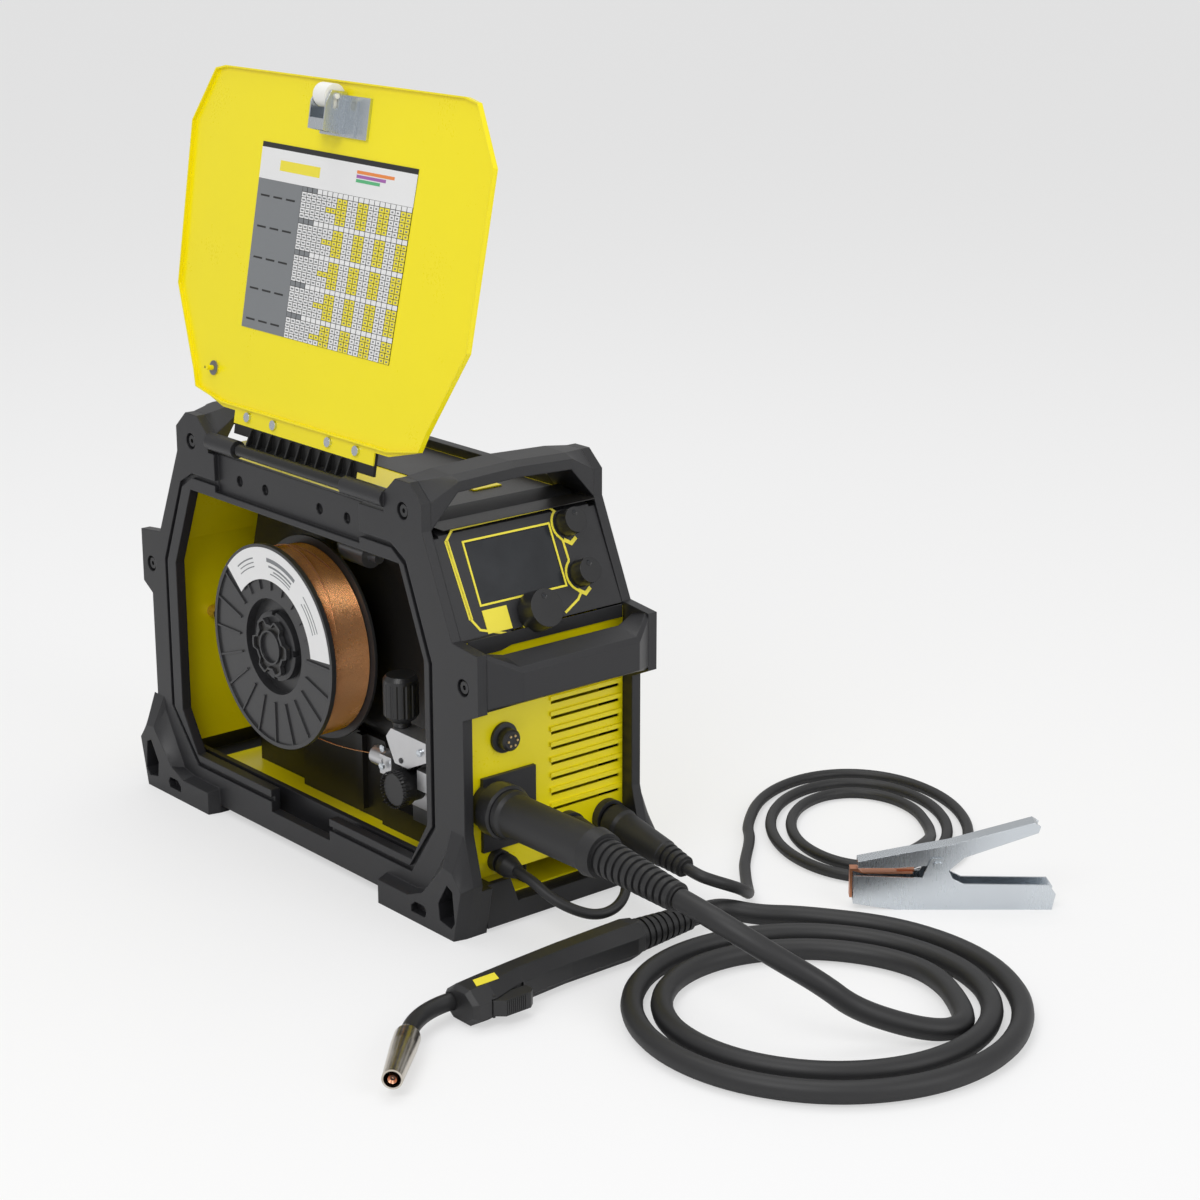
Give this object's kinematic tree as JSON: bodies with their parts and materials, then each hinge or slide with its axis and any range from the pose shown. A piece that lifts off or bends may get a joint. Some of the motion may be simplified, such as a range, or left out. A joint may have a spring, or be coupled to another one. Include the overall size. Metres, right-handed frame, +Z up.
{
  "type": "portable wire-feed welding machine",
  "caption": "Portable wire-feed welding machine with an opened side door, wire spool, carrying handles, and its torch and earth clamp lying coiled in front on the floor.",
  "frame": {"origin": "on the floor at the centre of the machine's four feet", "axes": "+Z up, the front panel faces -Y, the side door and wire compartment face -X"},
  "size_m": [0.8151, 1.0272, 0.7274],
  "materials": {
    "frame_black": "moulded black polymer, fine texture",
    "sheet_yellow": "glossy yellow powder coat",
    "panel_black": "satin black fascia",
    "screen_glass": "dark display window",
    "knob_black": "satin black",
    "screw_black": "black oxide",
    "zinc": "zinc plated",
    "hinge_black": "black coated",
    "nylon_white": "white nylon",
    "spool_black": "moulded black polymer",
    "copper_wire": "copper-coated steel wire",
    "rubber_black": "matt black rubber",
    "copper": "bare copper",
    "steel": "machined steel",
    "motor_grey": "grey motor can",
    "aluminium": "extruded heat sink",
    "brass": "turned brass",
    "nozzle_chrome": "plated nozzle"
  },
  "bodies": {
    "machine": {"side_frame_left": "frame_black", "side_frame_right": "frame_black", "base_tray": "frame_black", "front_handle": "frame_black", "rear_handle": "frame_black", "front_bumper": "frame_black", "rear_bumper": "frame_black", "front_sheet": "sheet_yellow", "floor_pan": "sheet_yellow", "rear_sheet": "sheet_yellow", "casing": "sheet_yellow", "centre_divider": "panel_black", "control_panel": "panel_black", "display_window": "screen_glass", "frame_screws": "screw_black", "hinge_rod": "zinc", "spool_hub": "spool_black", "feeder_frame": "aluminium", "feed_motor": "motor_grey", "power_unit": "aluminium", "mains_gland": "knob_black", "gas_inlet": "brass", "gas_valve": "motor_grey", "remote_socket": "panel_black", "gun_socket": "panel_black", "gun_plug": "rubber_black", "output_sockets": "panel_black", "polarity_plug": "rubber_black", "polarity_lead": "rubber_black", "earth_plug": "rubber_black", "earth_cable": "rubber_black", "earth_cable_coil": "rubber_black", "clamp_lower_jaw": "zinc", "clamp_spring": "steel", "clamp_strap": "copper", "torch_cable": "rubber_black", "torch_cable_coil": "rubber_black", "torch_relief": "rubber_black", "torch_handle": "spool_black", "torch_neck": "spool_black", "torch_nozzle": "nozzle_chrome", "pressure_arm": "aluminium"},
    "door": {"door_panel": "sheet_yellow", "door_hinge": "hinge_black", "door_bolts": "screw_black", "door_latch": "zinc"},
    "latch_wheel": {"latch_roller": "nylon_white"},
    "upper_knob": {"knob_upper": "knob_black"},
    "middle_knob": {"knob_middle": "knob_black"},
    "main_knob": {"knob_main": "knob_black"},
    "wire_spool": {"spool": "spool_black", "wire_winding": "copper_wire"},
    "lower_roll": {"drive_roll": "knob_black"},
    "upper_roll": {"pressure_roll": "steel"},
    "tension": {"tension_knob": "knob_black"},
    "fan_wheel": {"fan": "spool_black"},
    "rear_switch": {"power_switch": "knob_black"},
    "trigger": {"torch_trigger": "spool_black"},
    "connector_nut": {"gun_nut": "knob_black"},
    "clamp_arm": {"clamp_upper_jaw": "zinc"}
  },
  "joints": [
    {"name": "door_hinge", "type": "hinge", "parent": "machine", "child": "door", "pos_m": [-0.098, 0, 0.381], "axis": [0, -1, 0], "range_deg": [0, 190]},
    {"name": "latch_slide", "type": "slide", "parent": "door", "child": "latch_wheel", "axis": [-0.1736, 0, -0.9848], "range_m": [0, 0.008], "stiffness_N_per_m": 900, "springref_m": -0.002},
    {"name": "upper_knob_turn", "type": "hinge", "parent": "machine", "child": "upper_knob", "pos_m": [0.0545, -0.21154, 0.34424], "axis": [0, -0.9048, 0.4258], "continuous": true},
    {"name": "middle_knob_turn", "type": "hinge", "parent": "machine", "child": "middle_knob", "pos_m": [0.0545, -0.23155, 0.30171], "axis": [0, -0.9048, 0.4258], "continuous": true},
    {"name": "main_knob_turn", "type": "hinge", "parent": "machine", "child": "main_knob", "pos_m": [-0.007, -0.24177, 0.27999], "axis": [0, -0.9048, 0.4258], "continuous": true},
    {"name": "spool_spin", "type": "hinge", "parent": "machine", "child": "wire_spool", "pos_m": [-0.06, 0.048, 0.195], "axis": [1, 0, 0], "continuous": true},
    {"name": "drive_roll_spin", "type": "hinge", "parent": "machine", "child": "lower_roll", "pos_m": [-0.064, -0.13, 0.09885], "axis": [1, 0, 0], "continuous": true},
    {"name": "pressure_roll_spin", "type": "hinge", "parent": "machine", "child": "upper_roll", "pos_m": [-0.064, -0.13, 0.12515], "axis": [1, 0, 0], "continuous": true},
    {"name": "fan_spin", "type": "hinge", "parent": "machine", "child": "fan_wheel", "pos_m": [0.036, 0.211, 0.11], "axis": [0, 1, 0], "continuous": true},
    {"name": "rear_switch_rock", "type": "hinge", "parent": "machine", "child": "rear_switch", "pos_m": [0.014, 0.229, 0.188], "axis": [1, 0, 0], "range_deg": [0, 16]},
    {"name": "trigger_press", "type": "hinge", "parent": "machine", "child": "trigger", "pos_m": [-0.19, -0.412, 0.017], "axis": [0, 0, 1], "range_deg": [0, 4], "stiffness_Nm_per_rad": 1.5},
    {"name": "connector_nut_turn", "type": "hinge", "parent": "machine", "child": "connector_nut", "pos_m": [-0.064, -0.265, 0.114], "axis": [0, -1, 0], "continuous": true},
    {"name": "clamp_open", "type": "hinge", "parent": "machine", "child": "clamp_arm", "pos_m": [0.26994, -0.47826, 0.043], "axis": [0.6478, 0.7618, 0], "range_deg": [0, 28], "stiffness_Nm_per_rad": 2, "springref_deg": -5.73},
    {"name": "tension_knob_turn", "type": "hinge", "parent": "machine", "child": "tension", "pos_m": [-0.064, -0.117, 0.153], "axis": [0, 0, 1], "continuous": true}
  ],
  "couplings": [
    {"joint": "pressure_roll_spin", "follows": "drive_roll_spin", "ratio": -1.3636}
  ]
}
